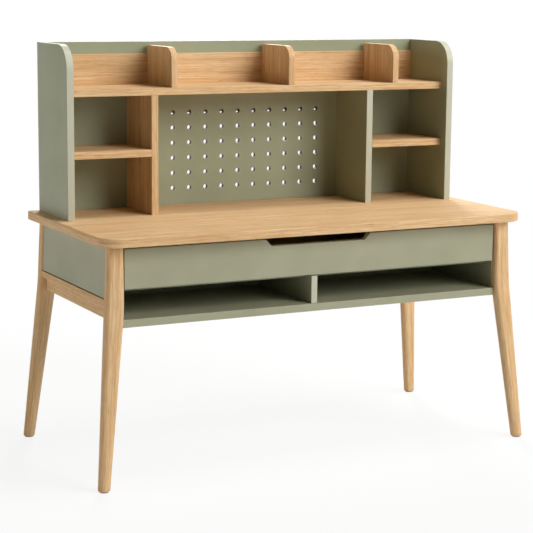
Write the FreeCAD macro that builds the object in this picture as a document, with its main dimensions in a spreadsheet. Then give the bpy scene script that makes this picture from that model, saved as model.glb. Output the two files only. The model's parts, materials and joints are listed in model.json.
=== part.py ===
"""Student desk with a hutch: splayed tapered legs, one wide drawer, an open shelf under it
and a bookcase with a peg board standing on the desktop.

Millimetres, +Z up, X to the user's right, the user sits at -Y.
The origin is on the floor under the middle of the four legs.
"""
import FreeCAD, Part
import os
import re
import Sketcher

# Sizes that can be set one by one
SIZES = {
    # desktop
    "top_width": 1400,
    "top_depth": 660,
    "top_thick": 26,
    "desk_height": 720,
    "top_front_overhang": 45,
    "top_back_overhang": 25,
    "top_side_overhang": 30,
    "top_front_radius": 60,
    "top_back_radius": 14,
    "top_ease": 2.5,
    "board_ease": 1,
    # legs
    "leg_top_x": 46,
    "leg_top_y": 32,
    "leg_knee_x": 54,
    "leg_knee_y": 36,
    "leg_corner": 10,
    "leg_splay_x": 51,
    "leg_splay_y": 45,
    "knee_under_ledge": 16,
    "foot_width": 35,
    "foot_flat": 2,
    "foot_chamfer": 2.5,
    "glide_thick": 2.5,
    "glide_width": 26,
    "glide_pin_width": 6,
    "glide_pin_length": 16,
    "stud_width": 8,
    "stud_in_leg": 30,
    "stud_in_top": 15,
    # side frames between the legs
    "panel_height": 155,
    "panel_thick": 18,
    "panel_recess": 5,
    "panel_gap": 2.5,
    "panel_rebate_height": 3,
    "panel_rebate_depth": 8,
    "ledge_thick": 18,
    "ledge_recess": 2,
    "rail_height": 43,
    "rail_thick": 18,
    "back_rail_height": 100,
    "back_rail_thick": 22,
    "dowel_width": 8,
    "dowel_depth": 16,
    "dowel_inset": 11,
    # carcass of the drawer and the open shelf
    "front_recess": 11,
    "carcass_depth": 355,
    "wall_thick": 15,
    "wall_recess": 1,
    "shelf_drop": 214,
    "shelf_thick": 23,
    "shelf_floor_thick": 8,
    "lip_thick": 12,
    "lip_heel": 18,
    "leg_notch_gap": 2,
    "divider_thick": 20,
    "divider_shift": 12,
    "divider_recess": 3,
    "dust_thick": 9,
    "dust_gap": 4,
    "dust_recess": 30,
    "stretcher_thick": 18,
    "stretcher_depth": 60,
    "stretcher_setback": 40,
    # drawer
    "drawer_gap": 4.5,
    "drawer_top_gap": 12,
    "front_height": 115,
    "front_thick": 20,
    "front_ease": 1.5,
    "notch_width": 350,
    "notch_run": 18,
    "notch_depth": 20,
    "notch_round": 6,
    "box_lift": 8,
    "box_height": 78,
    "box_thick": 15,
    "box_rear_gap": 6,
    "floor_thick": 6,
    "floor_lift": 8,
    "groove_depth": 6,
    "fit_gap": 0.2,
    "cam_width": 15,
    "cam_depth": 11,
    "cam_inset": 24,
    "cam_top_share": 0.25,
    "cam_low_share": 0.6,
    "cam_slot_width": 2,
    "cam_slot_length": 9,
    "cam_slot_depth": 2,
    "cam_bolt_width": 6,
    "cam_bolt_bite": 11,
    # telescopic runners
    "runner_gap": 13,
    "runner_length": 300,
    "runner_height": 35,
    "runner_sheet": 1.2,
    "runner_play": 0.6,
    "runner_flange": 10,
    "runner_setback": 2,
    "runner_screw_width": 3,
    "runner_screw_head": 6,
    "runner_screw_bite": 10,
    "runner_screw_inset": 40,
    # hutch
    "hutch_side_inset": 34,
    "hutch_depth": 258,
    "hutch_height": 517,
    "hutch_thick": 22,
    "hutch_radius": 73,
    "hutch_back_inset": 20,
    "hutch_back_thick": 12,
    "hutch_back_recess": 12,
    "hutch_setback": 32,
    "upper_rise": 385,
    "lower_rise": 200,
    "cell_width": 259,
    "strip_height": 95,
    "strip_thick": 9,
    "fin_height": 121,
    "fin_thick": 20,
    "fin_radius": 42,
    "fin_left_share": 0.48,
    "fin_centre_share": 0.141,
    "fin_right_share": 0.727,
    "batten_height": 72,
    "peg_width": 14,
    "peg_side_gap": 78,
    "peg_pitch_z": 48,
    "peg_rise": 53,
    "upright_dowel_depth": 22,
    "top_dowel_depth": 10,
    "upright_dowel_inset": 45,
    # screws
    "screw_width": 4,
    "screw_length": 30,
    "screw_head_width": 9,
    "screw_head_thick": 2.5,
    "screw_inset": 60,
    "shelf_screw_length": 35,
}

# Numbers of repeated features
PEG_COLUMNS = 11
PEG_ROWS = 6

# Places worked out from the sizes
PLACES = {
    "under_z": "desk_height - top_thick",
    # legs, from the middle of the desk
    "leg_in_x": "top_width / 2 - top_side_overhang - leg_top_x",
    "leg_out_y": "(top_depth - top_front_overhang - top_back_overhang) / 2",
    "leg_in_y": "leg_out_y - leg_top_y",
    "top_front_y": "-(leg_out_y + top_front_overhang)",
    "top_back_y": "leg_out_y + top_back_overhang",
    "leg_mid_x": "leg_in_x + leg_top_x / 2",
    "leg_mid_y": "leg_in_y + leg_top_y / 2",
    "knee_mid_x": "leg_in_x + leg_knee_x / 2",
    "knee_mid_y": "leg_in_y + leg_knee_y / 2",
    "foot_mid_x": "knee_mid_x + leg_splay_x",
    "foot_mid_y": "knee_mid_y + leg_splay_y",
    "foot_z": "glide_thick + foot_chamfer",
    "panel_z": "under_z - panel_height",
    "ledge_z": "panel_z - ledge_thick",
    "rail_z": "ledge_z - rail_height",
    "knee_z": "ledge_z - knee_under_ledge",
    # the legs' outer faces lean: how far out they stand at a height
    "lean_x": "(leg_knee_x - leg_top_x) / (under_z - knee_z)",
    "panel_top_x": "leg_in_x + leg_top_x - panel_recess",
    "panel_foot_x": "panel_top_x + lean_x * panel_height",
    "rebate_z": "panel_z + panel_rebate_height",
    "rebate_in_x": "panel_foot_x - panel_rebate_depth",
    "rebate_out_x": "panel_foot_x - lean_x * panel_rebate_height",
    "ledge_out_x": "panel_foot_x + panel_recess - ledge_recess",
    # and how far the inner faces run out below the knee, for each step down
    "flare_x": "(leg_splay_x + (leg_knee_x - foot_width) / 2) / (knee_z - foot_z)",
    "flare_y": "(leg_splay_y + (leg_knee_y - foot_width) / 2) / (knee_z - foot_z)",
    "rail_foot_y": "leg_in_y + flare_y * (knee_z - rail_z)",
    "wall_in_x": "leg_in_x + wall_recess",
    "wall_out_x": "wall_in_x + wall_thick",
    "rail_out_x": "wall_out_x + rail_thick",
    "rail_mid_x": "wall_out_x + rail_thick / 2",
    # carcass
    "shelf_top_z": "under_z - shelf_drop",
    "shelf_z": "shelf_top_z - shelf_thick",
    "shelf_floor_z": "shelf_top_z - shelf_floor_thick",
    "lip_back_y": "front_y + lip_thick",
    "front_y": "-(leg_out_y - front_recess)",
    "carcass_back_y": "front_y + carcass_depth",
    "carcass_end_y": "carcass_back_y + wall_thick",
    "front_back_y": "front_y + front_thick",
    "front_top_z": "under_z - drawer_top_gap",
    "front_z": "front_top_z - front_height",
    "dust_top_z": "front_z - dust_gap",
    "dust_z": "dust_top_z - dust_thick",
    "dust_y": "front_back_y + dust_recess",
    "stretcher_y": "front_back_y + stretcher_setback",
    # drawer box
    "front_half": "leg_in_x - drawer_gap",
    "box_out_x": "wall_in_x - runner_gap",
    "box_in_x": "box_out_x - box_thick",
    "box_z": "front_z + box_lift",
    "box_top_z": "box_z + box_height",
    "box_end_y": "carcass_back_y - box_rear_gap",
    "floor_z": "box_z + floor_lift",
    "floor_top_z": "floor_z + floor_thick",
    "cam_y": "front_back_y + cam_inset",
    "cam_mid_x": "box_in_x + cam_depth / 2",
    "box_back_y": "box_end_y - box_thick",
    "cam_top_z": "box_top_z - cam_top_share * box_height",
    "cam_low_z": "box_top_z - cam_low_share * box_height",
    "runner_mid_z": "box_z + box_height / 2",
    "runner_y": "front_back_y + runner_setback",
    "runner_end_y": "runner_y + runner_length",
    # hutch
    "hutch_half": "top_width / 2 - hutch_side_inset",
    "hutch_in_x": "hutch_half - hutch_thick",
    "hutch_back_y": "top_back_y - hutch_back_inset",
    "hutch_front_y": "hutch_back_y - hutch_depth",
    "board_back_y": "hutch_back_y - hutch_back_recess",
    "board_front_y": "board_back_y - hutch_back_thick",
    "inner_front_y": "hutch_front_y + hutch_setback",
    "hutch_top_z": "desk_height + hutch_height",
    "upper_top_z": "desk_height + upper_rise",
    "upper_z": "upper_top_z - hutch_thick",
    "lower_top_z": "desk_height + lower_rise",
    "lower_z": "lower_top_z - hutch_thick",
    "partition_out": "hutch_in_x - cell_width",
    "partition_in": "partition_out - hutch_thick",
    "fin_left_x": "-(fin_left_share * hutch_in_x)",
    "fin_centre_x": "fin_centre_share * hutch_in_x",
    "fin_right_x": "fin_right_share * hutch_in_x",
    "peg_half": "partition_in - peg_side_gap",
    "strip_front_y": "board_front_y - strip_thick",
}

doc = FreeCAD.newDocument("student_desk")
sheet = doc.addObject("Spreadsheet::Sheet", "Sizes")
for row, (name, size) in enumerate(SIZES.items(), start=1):
    sheet.set(f"A{row}", name)
    sheet.set(f"B{row}", str(size))
    sheet.setAlias(f"B{row}", name)
doc.recompute()

NODES = []


def full(text):
    """Write an expression of size and place names out as one on the sheet's cells."""
    def swap(word):
        name = word.group(0)
        if name in PLACES:
            return "(" + full(PLACES[name]) + ")"
        return "Sizes." + name if name in SIZES else name
    return re.sub(r"[a-z_]+", swap, text)


def number(text):
    """Give the present value of an expression of names."""
    return float(sheet.evalExpression(full(text)))


def bind(thing, **properties):
    """Tie properties of an object to expressions of names."""
    for name, text in properties.items():
        thing.setExpression(name.replace("__", "."), full(text))


def keep(thing, label):
    """List an object as one of the pieces of the desk."""
    thing.Label = label
    NODES.append(thing)
    return thing


def new_body(label):
    """Start a piece that is made of sketches and features."""
    return keep(doc.addObject("PartDesign::Body", label), label)


def new_sketch(body, plane, place):
    """Start a sketch on one of the body's planes, moved along its axis to a place."""
    sketch = body.newObject("Sketcher::SketchObject", body.Label + "_sketch")
    datum = [one for one in body.Origin.OriginFeatures if one.Role == plane + "_Plane"]
    sketch.AttachmentSupport = [(datum[0], "")]
    sketch.MapMode = "FlatFace"
    bind(sketch, AttachmentOffset__Base__z=f"-({place})" if plane == "XZ" else place)
    return sketch


def rule(sketch, kind, *where, size):
    """Add a dimension to a sketch and tie it to an expression."""
    index = sketch.addConstraint(Sketcher.Constraint(kind, *where, number(size)))
    bind(sketch, **{f"Constraints[{index}]": size})


def pin(sketch, geometry, end, point):
    """Tie a point of a sketch to its two coordinates."""
    rule(sketch, "DistanceX", -1, 1, geometry, end, size=point[0])
    rule(sketch, "DistanceY", -1, 1, geometry, end, size=point[1])


def vector(point):
    """Give a sketch point its present place."""
    return FreeCAD.Vector(number(point[0]), number(point[1]), 0)


def polygon(sketch, points):
    """Draw a closed outline through points, each of them tied to the sheet."""
    following = points[1:] + points[:1]
    for here, there in zip(points, following):
        sketch.addGeometry(Part.LineSegment(vector(here), vector(there)))
    for index in range(len(points)):
        sketch.addConstraint(Sketcher.Constraint("Coincident", index, 2, (index + 1) % len(points), 1))
    for index, point in enumerate(points):
        pin(sketch, index, 1, point)


def circles(sketch, centres, width):
    """Draw circles of one width round centres that are tied to the sheet."""
    for index, centre in enumerate(centres):
        circle = Part.Circle(vector(centre), FreeCAD.Vector(0, 0, 1), number(width) / 2)
        sketch.addGeometry(circle)
        pin(sketch, index, 3, centre)
        rule(sketch, "Radius", index, size=f"({width}) / 2")


def rounded(sketch, mid, wide, deep, corner):
    """Draw a rectangle with round corners: four sides, then the arc that follows each."""
    left, right = f"{mid[0]} - ({wide}) / 2", f"{mid[0]} + ({wide}) / 2"
    front, back = f"{mid[1]} - ({deep}) / 2", f"{mid[1]} + ({deep}) / 2"
    sides = [
        ((f"{left} + {corner}", front), (f"{right} - {corner}", front)),
        ((right, f"{front} + {corner}"), (right, f"{back} - {corner}")),
        ((f"{right} - {corner}", back), (f"{left} + {corner}", back)),
        ((left, f"{back} - {corner}"), (left, f"{front} + {corner}")),
    ]
    turns = [(f"{right} - {corner}", f"{front} + {corner}"), (f"{right} - {corner}", f"{back} - {corner}"),
             (f"{left} + {corner}", f"{back} - {corner}"), (f"{left} + {corner}", f"{front} + {corner}")]
    for index, (side, middle) in enumerate(zip(sides, turns)):
        sketch.addGeometry(Part.LineSegment(vector(side[0]), vector(side[1])))
        bow = Part.Circle(vector(middle), FreeCAD.Vector(0, 0, 1), number(corner))
        quarter = FreeCAD.Units.parseQuantity("90 deg").getValueAs("rad").Value
        sketch.addGeometry(Part.ArcOfCircle(bow, (index - 1) * quarter, index * quarter))
    for index in range(4):
        line, arc, following = 2 * index, 2 * index + 1, (2 * index + 2) % 8
        sketch.addConstraint(Sketcher.Constraint("Tangent", line, 2, arc, 1))
        sketch.addConstraint(Sketcher.Constraint("Tangent", arc, 2, following, 1))
        sketch.addConstraint(Sketcher.Constraint("Vertical" if index % 2 else "Horizontal", line))
    for index in range(1, 4):
        sketch.addConstraint(Sketcher.Constraint("Equal", 1, 2 * index + 1))
    rule(sketch, "Radius", 1, size=corner)
    rule(sketch, "DistanceY", -1, 1, 0, 1, size=front)
    rule(sketch, "DistanceX", -1, 1, 2, 1, size=right)
    rule(sketch, "DistanceY", -1, 1, 4, 1, size=back)
    rule(sketch, "DistanceX", -1, 1, 6, 1, size=left)


def prism(label, plane, points, start, end):
    """Make a piece of one outline, running along the plane's axis from start to end."""
    body = new_body(label)
    sketch = new_sketch(body, plane, end if plane == "XZ" else start)
    polygon(sketch, points)
    pad = body.newObject("PartDesign::Pad", label + "_pad")
    pad.Profile = sketch
    bind(pad, Length=f"({end}) - ({start})")
    doc.recompute()
    return body


def round_off(body, radius, test):
    """Round the edges of a piece whose middle and direction pass a test."""
    base = body.Tip
    names = []
    for index, edge in enumerate(base.Shape.Edges, start=1):
        if test(edge.CenterOfMass, edge.tangentAt(edge.FirstParameter)):
            names.append(f"Edge{index}")
    fillet = body.newObject("PartDesign::Fillet", body.Label + "_round")
    fillet.Base = (base, names)
    bind(fillet, Radius=radius)
    doc.recompute()


def ease(body):
    """Take the sharpness off all edges of a piece."""
    round_off(body, "board_ease", lambda middle, way: True)


def upright_edge(way):
    """Tell whether an edge stands up rather than lies level."""
    return abs(way.z) > abs(way.x) + abs(way.y)


def drill(body, plane, place, centres, width, depth, way):
    """Sink round holes from a plane, forwards along its axis for +1 and backwards for -1."""
    before = body.Shape.Volume
    sketch = new_sketch(body, plane, place)
    circles(sketch, centres, width)
    pocket = body.newObject("PartDesign::Pocket", body.Label + "_holes")
    pocket.Profile = sketch
    pocket.Reversed = (way > 0) != (plane == "XZ")
    bind(pocket, Length=depth)
    doc.recompute()
    if not body.Shape.Volume < before:
        raise RuntimeError("holes cut nothing in " + body.Label)
    return pocket


def carve(body, plane, points, start, end):
    """Cut an outline out of a piece, along the plane's axis from start to end."""
    before = body.Shape.Volume
    sketch = new_sketch(body, plane, start)
    polygon(sketch, points)
    pocket = body.newObject("PartDesign::Pocket", body.Label + "_cut")
    pocket.Profile = sketch
    pocket.Reversed = plane != "XZ"
    bind(pocket, Length=f"({end}) - ({start})")
    doc.recompute()
    if not body.Shape.Volume < before:
        raise RuntimeError("a cut took nothing from " + body.Label)


def corners(first, second):
    """Give the four corners of a rectangle from its two ranges."""
    return [(first[0], second[0]), (first[1], second[0]), (first[1], second[1]), (first[0], second[1])]


def board(label, across, along, height, eased=True):
    """Make a plain board that fills three ranges."""
    body = prism(label, "XY", corners(across, along), *height)
    if eased:
        ease(body)
    return body


def mirrored(sign, start, end):
    """Give a range on the right, or its mirror image on the left."""
    return (start, end) if sign == "" else (f"-({end})", f"-({start})")


def rod(axis, start, end, first, second, width):
    """Make a round pin along an axis; first and second place it on the other two."""
    pin_shape = doc.addObject("Part::Cylinder", "rod")
    turn = {"z": FreeCAD.Rotation(), "x": FreeCAD.Rotation(0, 90, 0), "y": FreeCAD.Rotation(0, 0, -90)}[axis]
    pin_shape.Placement = FreeCAD.Placement(FreeCAD.Vector(), turn)
    place = {"z": (first, second, start), "x": (start, first, second), "y": (first, start, second)}[axis]
    bind(pin_shape, Radius=f"({width}) / 2", Height=f"({end}) - ({start})")
    bind(pin_shape, Placement__Base__x=place[0], Placement__Base__y=place[1], Placement__Base__z=place[2])
    return pin_shape


def fused(pieces):
    """Join a few simple shapes into one solid."""
    joint = doc.addObject("Part::MultiFuse", "fused")
    joint.Shapes = pieces
    return joint


def screw(axis, face, first, second, length, way=1):
    """Make a pan-head screw whose head lies on a face and whose shank runs on along the axis."""
    head = (f"{face} - screw_head_thick", face)
    shank = (f"{face} - screw_head_thick / 2", f"{face} + ({length})")
    if way < 0:
        head = (face, f"{face} + screw_head_thick")
        shank = (f"{face} - ({length})", f"{face} + screw_head_thick / 2")
    return fused([rod(axis, *head, first, second, "screw_head_width"),
                  rod(axis, *shank, first, second, "screw_width")])


def group(label, pieces):
    """Keep like fasteners as one piece of separate solids."""
    compound = doc.addObject("Part::Compound", label)
    compound.Links = pieces
    return keep(compound, label)


SIDES = (("left", "-"), ("right", ""))
ENDS = (("front", "-"), ("back", ""))

# Desktop: rounded at the front, nearly square at the wall
hutch_pins = []
for side, sign in SIDES:
    for along in ("hutch_front_y + upright_dowel_inset", "hutch_back_y - upright_dowel_inset"):
        hutch_pins.append((f"{sign}(hutch_half - hutch_thick / 2)", along))
    for along in ("inner_front_y + upright_dowel_inset", "board_front_y - upright_dowel_inset"):
        hutch_pins.append((f"{sign}(partition_in + hutch_thick / 2)", along))
leg_tops = []
for side, sign in SIDES:
    for end, turn in ENDS:
        leg_tops.append((f"{sign}(leg_mid_x)", f"{turn}(leg_mid_y)"))
stretcher_pins = []
for side, sign in SIDES:
    stretcher_pins.append((f"{sign}(wall_in_x - screw_inset)", "stretcher_y + stretcher_depth / 2"))

top_across = ("-top_width / 2", "top_width / 2")
desktop = prism("desktop", "XY", corners(top_across, ("top_front_y", "top_back_y")), "under_z", "desk_height")
mid_y = number("(top_front_y + top_back_y) / 2")
back_y = number("top_back_y - fit_gap")
round_off(desktop, "top_front_radius", lambda middle, way: upright_edge(way) and middle.y < mid_y)
round_off(desktop, "top_back_radius", lambda middle, way: upright_edge(way) and middle.y > back_y)
round_off(desktop, "top_ease", lambda middle, way: not upright_edge(way))
drill(desktop, "XY", "desk_height", hutch_pins, "dowel_width", "top_dowel_depth", -1)
drill(desktop, "XY", "under_z", leg_tops, "stud_width", "stud_in_top", 1)
drill(desktop, "XY", "under_z", stretcher_pins, "screw_width", "screw_length - stretcher_thick", 1)

# Legs: a rounded rectangle at the top, widest at the knee, splayed and tapered to a round foot
rail_pin_heights = ("rail_z + dowel_inset", "ledge_z - dowel_inset")
back_pin_heights = ("under_z - back_rail_height + 2 * dowel_inset", "under_z - stud_in_leg - dowel_inset")
for end, turn in ENDS:
    for side, sign in SIDES:
        leg = new_body(f"leg_{end}_{side}")
        foot = (f"{sign}(foot_mid_x)", f"{turn}(foot_mid_y)")
        knee = (f"{sign}(knee_mid_x)", f"{turn}(knee_mid_y)")
        head = (f"{sign}(leg_mid_x)", f"{turn}(leg_mid_y)")
        tip_width = "foot_width - 2 * foot_chamfer"
        outlines = [
            ("glide_thick", foot, tip_width, tip_width, f"({tip_width} - foot_flat) / 2"),
            ("foot_z", foot, "foot_width", "foot_width", "(foot_width - foot_flat) / 2"),
            ("knee_z", knee, "leg_knee_x", "leg_knee_y", "leg_corner"),
            ("under_z", head, "leg_top_x", "leg_top_y", "leg_corner"),
        ]
        sketches = []
        for height, mid, wide, deep, corner in outlines:
            sketch = new_sketch(leg, "XY", height)
            rounded(sketch, mid, wide, deep, f"({corner})")
            sketches.append(sketch)
        loft = leg.newObject("PartDesign::AdditiveLoft", leg.Label + "_loft")
        loft.Profile = sketches[0]
        loft.Sections = sketches[1:]
        loft.Ruled = True
        doc.recompute()
        drill(leg, "XY", "under_z", [head], "stud_width", "stud_in_leg", -1)
        drill(leg, "XY", "glide_thick", [foot], "glide_pin_width", "glide_pin_length", 1)
        pins = [(f"{sign}(rail_mid_x)", height) for height in rail_pin_heights]
        drill(leg, "XZ", f"{turn}(leg_in_y)", pins, "dowel_width", "dowel_depth", 1 if turn == "" else -1)
        if end == "back":
            pins = [("leg_mid_y", height) for height in back_pin_heights]
            drill(leg, "YZ", f"{sign}(leg_in_x)", pins, "dowel_width", "dowel_depth", 1 if sign == "" else -1)

# Glides pressed into the feet
glides = []
for side, sign in SIDES:
    for end, turn in ENDS:
        place = (f"{sign}(foot_mid_x)", f"{turn}(foot_mid_y)")
        disc = rod("z", "0", "glide_thick", *place, "glide_width")
        shank = rod("z", "glide_thick / 2", "glide_thick + glide_pin_length", *place, "glide_pin_width")
        glides.append(fused([disc, shank]))
group("foot_glides", glides)

# Studs that draw the legs to the desktop
group("leg_studs", [rod("z", "under_z - stud_in_leg", "under_z + stud_in_top", *place, "stud_width")
                    for place in leg_tops])

# Side frames: a leaning panel, rebated at its foot, on a ledge, and a rail whose ends follow the legs
for side, sign in SIDES:
    slant = [
        (f"{sign}(panel_foot_x - panel_thick)", "panel_z"),
        (f"{sign}(rebate_in_x)", "panel_z"),
        (f"{sign}(rebate_in_x)", "rebate_z"),
        (f"{sign}(rebate_out_x)", "rebate_z"),
        (f"{sign}(panel_top_x)", "under_z"),
        (f"{sign}(panel_top_x - panel_thick)", "under_z"),
    ]
    panel = prism("side_panel_" + side, "XZ", slant, "-(leg_in_y - panel_gap)", "leg_in_y - panel_gap")
    round_off(panel, "board_ease", lambda middle, way: middle.z > number("rebate_z + fit_gap"))
    board("side_ledge_" + side, mirrored(sign, "wall_out_x", "ledge_out_x"), ("-leg_in_y", "leg_in_y"),
          ("ledge_z", "panel_z"))
    ends = [
        ("-(leg_in_y)", "ledge_z"), ("-(leg_in_y)", "knee_z"), ("-(rail_foot_y)", "rail_z"),
        ("rail_foot_y", "rail_z"), ("leg_in_y", "knee_z"), ("leg_in_y", "ledge_z"),
    ]
    rail = prism("side_rail_" + side, "YZ", ends, *mirrored(sign, "wall_out_x", "rail_out_x"))
    pins = [(f"{sign}(rail_mid_x)", height) for height in rail_pin_heights]
    reach = "dowel_depth + rail_foot_y - leg_in_y"
    drill(rail, "XZ", "-(rail_foot_y)", pins, "dowel_width", reach, 1)
    drill(rail, "XZ", "rail_foot_y", pins, "dowel_width", reach, -1)

# Back rail between the back legs
back_rail_along = ("leg_mid_y - back_rail_thick / 2", "leg_mid_y + back_rail_thick / 2")
back_rail = board("back_rail", ("-leg_in_x", "leg_in_x"), back_rail_along,
                  ("under_z - back_rail_height", "under_z"))
pins = [("leg_mid_y", height) for height in back_pin_heights]
drill(back_rail, "YZ", "-(leg_in_x)", pins, "dowel_width", "dowel_depth", 1)
drill(back_rail, "YZ", "leg_in_x", pins, "dowel_width", "dowel_depth", -1)

# Dowels that hold the rails in the legs
dowels = []
for side, sign in SIDES:
    for end, turn in ENDS:
        reach = mirrored(turn, "leg_in_y - dowel_depth", "leg_in_y + dowel_depth")
        for height in rail_pin_heights:
            dowels.append(rod("y", *reach, f"{sign}(rail_mid_x)", height, "dowel_width"))
    reach = mirrored(sign, "leg_in_x - dowel_depth", "leg_in_x + dowel_depth")
    for height in back_pin_heights:
        dowels.append(rod("x", *reach, "leg_mid_y", height, "dowel_width"))
group("rail_dowels", dowels)

# Carcass: two walls behind the front legs, a back, a dust board, a divider and the shelf,
# whose thin floor rests on the heel of a lip between the front legs
shelf_side = "leg_in_x + flare_x * (knee_z - shelf_top_z) - leg_notch_gap"
shelf_nook = "-(leg_in_y - leg_notch_gap)"
lip_section = [
    ("front_y", "shelf_z"), ("lip_back_y + lip_heel", "shelf_z"), ("lip_back_y + lip_heel", "shelf_floor_z"),
    ("lip_back_y", "shelf_floor_z"), ("lip_back_y", "shelf_top_z"), ("front_y", "shelf_top_z"),
]
lip = prism("shelf_lip", "YZ", lip_section, f"-({shelf_side})", shelf_side)
round_off(lip, "board_ease", lambda middle, way: middle.y < number("lip_back_y"))
shelf_outline = [
    (f"-({shelf_side})", "lip_back_y"), (shelf_side, "lip_back_y"), (shelf_side, shelf_nook),
    ("wall_out_x", shelf_nook), ("wall_out_x", "carcass_end_y"), ("-(wall_out_x)", "carcass_end_y"),
    ("-(wall_out_x)", shelf_nook), (f"-({shelf_side})", shelf_nook),
]
shelf = prism("shelf_floor", "XY", shelf_outline, "shelf_floor_z", "shelf_top_z")
shelf_pins = {}
screw_bite = "shelf_screw_length - shelf_floor_thick"
carcass_height = ("shelf_top_z", "under_z")
runner_pins = [("runner_y + runner_screw_inset", "runner_mid_z"),
               ("runner_end_y - runner_screw_inset", "runner_mid_z")]
for side, sign in SIDES:
    across = f"{sign}(wall_in_x + wall_thick / 2)"
    shelf_pins[side] = [(across, "screw_inset - leg_in_y"), (across, "carcass_back_y - screw_inset")]
    wall = board("carcass_wall_" + side, mirrored(sign, "wall_in_x", "wall_out_x"),
                 ("-leg_in_y", "carcass_end_y"), carcass_height, eased=False)
    drill(wall, "XY", "shelf_top_z", shelf_pins[side], "screw_width", screw_bite, 1)
    drill(wall, "YZ", f"{sign}(wall_in_x)", runner_pins, "runner_screw_width", "runner_screw_bite",
          1 if sign == "" else -1)
inside = ("-(wall_in_x)", "wall_in_x")
rear = board("carcass_back", inside, ("carcass_back_y", "carcass_end_y"), carcass_height, eased=False)
shelf_pins["back"] = [(f"{sign}(wall_in_x / 2)", "carcass_back_y + wall_thick / 2") for side, sign in SIDES]
drill(rear, "XY", "shelf_top_z", shelf_pins["back"], "screw_width", screw_bite, 1)
board("dust_board", inside, ("dust_y", "carcass_back_y"), ("dust_z", "dust_top_z"), eased=False)
divider_outline = [
    ("front_y + divider_recess", "shelf_top_z"), ("carcass_back_y", "shelf_top_z"),
    ("carcass_back_y", "dust_z"), ("dust_y", "dust_z"), ("dust_y", "dust_top_z"),
    ("front_y + divider_recess", "dust_top_z"),
]
divider = prism("shelf_divider", "YZ", divider_outline, "-divider_shift - divider_thick / 2",
                "divider_thick / 2 - divider_shift")
round_off(divider, "board_ease", lambda middle, way: middle.y < number("front_back_y"))
divider_ends = ("front_y + screw_inset", "carcass_back_y - screw_inset")
shelf_pins["divider"] = [("-divider_shift", place) for place in divider_ends]
drill(divider, "XY", "shelf_top_z", shelf_pins["divider"], "screw_width", screw_bite, 1)
every_shelf_pin = [place for places in shelf_pins.values() for place in places]
drill(shelf, "XY", "shelf_floor_z", every_shelf_pin, "screw_width", "shelf_floor_thick", 1)
group("shelf_screws", [screw("z", "shelf_floor_z", *place, "shelf_screw_length")
                       for place in every_shelf_pin])
stretcher = board("top_stretcher", inside, ("stretcher_y", "stretcher_y + stretcher_depth"),
                  ("under_z - stretcher_thick", "under_z"), eased=False)
drill(stretcher, "XY", "under_z", stretcher_pins, "screw_width", "stretcher_thick", -1)
group("stretcher_screws", [screw("z", "under_z - stretcher_thick", *place, "screw_length")
                           for place in stretcher_pins])

# Drawer front with its finger notch
notch = "notch_width / 2"
floor = "notch_width / 2 - notch_run"
front_outline = [
    ("-(front_half)", "front_z"), ("front_half", "front_z"), ("front_half", "front_top_z"),
    (notch, "front_top_z"), (floor, "front_top_z - notch_depth"),
    (f"-({floor})", "front_top_z - notch_depth"), (f"-({notch})", "front_top_z"),
    ("-(front_half)", "front_top_z"),
]
front = prism("drawer_front", "XZ", front_outline, "front_y", "front_back_y")
near_notch = lambda middle: abs(middle.x) <= number(notch) + number("fit_gap")
deep = lambda middle, way: abs(way.y) > abs(way.x) + abs(way.z) and near_notch(middle)
round_off(front, "notch_round", deep)
round_off(front, "front_ease", lambda middle, way: middle.y <= number("front_y") + number("fit_gap"))
cam_heights = ("cam_top_z", "cam_low_z")
bolt_pins = {}
for side, sign in SIDES:
    bolt_pins[side] = [(f"{sign}(cam_mid_x)", height) for height in cam_heights]
    drill(front, "XZ", "front_back_y", bolt_pins[side], "cam_bolt_width", "cam_bolt_bite", -1)

# Drawer box: cams and bolts hold the front, dowels the back
drawer_dowel_pins = [("box_back_y + box_thick / 2", f"box_top_z - {share} * box_height")
                     for share in ("cam_top_share", "cam_low_share")]
drawer_dowels = []
for side, sign in SIDES:
    wall = board("drawer_side_" + side, mirrored(sign, "box_in_x", "box_out_x"),
                 ("front_back_y", "box_end_y"), ("box_z", "box_top_z"))
    groove = mirrored(sign, "box_in_x - board_ease", "box_in_x + groove_depth + fit_gap")
    carve(wall, "XY", corners(groove, ("front_back_y - board_ease", "box_end_y + board_ease")),
          "floor_z - fit_gap", "floor_top_z + fit_gap")
    pins = [("cam_y", height) for height in cam_heights]
    outwards = 1 if sign == "" else -1
    drill(wall, "YZ", f"{sign}(box_in_x)", pins, "cam_width", "cam_depth", outwards)
    drill(wall, "XZ", "front_back_y", bolt_pins[side], "cam_bolt_width", "cam_inset - cam_width / 2", 1)
    drill(wall, "YZ", f"{sign}(box_in_x)", drawer_dowel_pins, "dowel_width", "top_dowel_depth", outwards)
    drill(wall, "YZ", f"{sign}(box_out_x)", runner_pins, "runner_screw_width", "runner_screw_bite", -outwards)
    reach = mirrored(sign, "box_in_x - upright_dowel_depth", "box_in_x + top_dowel_depth")
    drawer_dowels += [rod("x", *reach, *place, "dowel_width") for place in drawer_dowel_pins]
drawer_back = board("drawer_back", ("-(box_in_x)", "box_in_x"), ("box_back_y", "box_end_y"),
                    ("floor_top_z", "box_top_z"))
for side, sign in SIDES:
    inwards = -1 if sign == "" else 1
    drill(drawer_back, "YZ", f"{sign}(box_in_x)", drawer_dowel_pins, "dowel_width", "upright_dowel_depth",
          inwards)
group("drawer_dowels", drawer_dowels)
floor_side = "box_in_x + groove_depth"
board("drawer_floor", (f"-({floor_side})", floor_side), ("front_back_y", "box_end_y"),
      ("floor_z", "floor_top_z"), eased=False)
cams = []
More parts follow.
